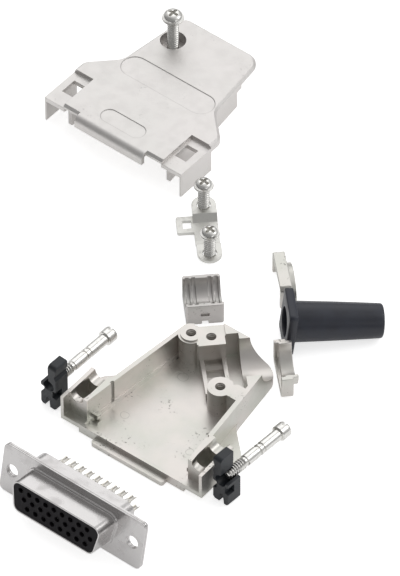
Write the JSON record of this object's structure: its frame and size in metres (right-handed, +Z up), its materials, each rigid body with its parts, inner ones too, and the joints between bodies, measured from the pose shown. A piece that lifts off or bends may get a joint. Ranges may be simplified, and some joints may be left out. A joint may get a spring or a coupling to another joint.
{
  "type": "d-sub connector kit",
  "caption": "High density D-sub socket with a two-part metal hood, angled cable exit, clamp, boot, clips and screws, laid out in pieces.",
  "frame": {"origin": "middle of the kit's footprint, on the table that the pieces stand on", "axes": "+Z up from the table, +Y from the connector's mating side towards the back of the hood, +X to the right"},
  "size_m": [0.1086, 0.1396, 0.0169],
  "materials": {
    "satin_nickel": "satin nickel on a zinc casting",
    "bright_nickel": "bright nickel",
    "tin_plate": "bright tin",
    "insulator_plastic": "fine moulded",
    "contact_metal": "gold flash",
    "boot_rubber": "smooth soft vinyl",
    "clip_plastic": "fine moulded"
  },
  "bodies": {
    "kit": {"lower_shell": "satin_nickel", "cover": "satin_nickel", "cover_screw": "bright_nickel", "cable_strap": "bright_nickel", "far_clamp_screw": "bright_nickel", "near_clamp_screw": "bright_nickel", "cable_saddle": "satin_nickel", "upper_frame_half": "satin_nickel", "lower_frame_half": "satin_nickel", "cable_boot": "boot_rubber", "left_clip": "clip_plastic", "right_clip": "clip_plastic", "connector_front_shell": "tin_plate", "connector_rear_shell": "tin_plate", "connector_front_insulator": "insulator_plastic", "connector_rear_insulator": "insulator_plastic", "contact_01": "contact_metal", "contact_02": "contact_metal", "contact_03": "contact_metal", "contact_04": "contact_metal", "contact_05": "contact_metal", "contact_06": "contact_metal", "contact_07": "contact_metal", "contact_08": "contact_metal", "contact_09": "contact_metal", "contact_10": "contact_metal", "contact_11": "contact_metal", "contact_12": "contact_metal", "contact_13": "contact_metal", "contact_14": "contact_metal", "contact_15": "contact_metal", "contact_16": "contact_metal", "contact_17": "contact_metal", "contact_18": "contact_metal", "contact_19": "contact_metal", "contact_20": "contact_metal", "contact_21": "contact_metal", "contact_22": "contact_metal", "contact_23": "contact_metal", "contact_24": "contact_metal", "contact_25": "contact_metal", "contact_26": "contact_metal"},
    "left_jackscrew": {"left_jackscrew": "bright_nickel"},
    "right_jackscrew": {"right_jackscrew": "bright_nickel"}
  },
  "joints": [
    {"name": "left_jackscrew_turn", "type": "hinge", "parent": "kit", "child": "left_jackscrew", "pos_m": [0.00419, -0.03704, 0.0066], "axis": [0.0297, 0.9996, 0], "continuous": true},
    {"name": "right_jackscrew_turn", "type": "hinge", "parent": "kit", "child": "right_jackscrew", "pos_m": [0.05124, -0.03533, 0.0066], "axis": [0.0628, 0.998, 0], "continuous": true}
  ]
}
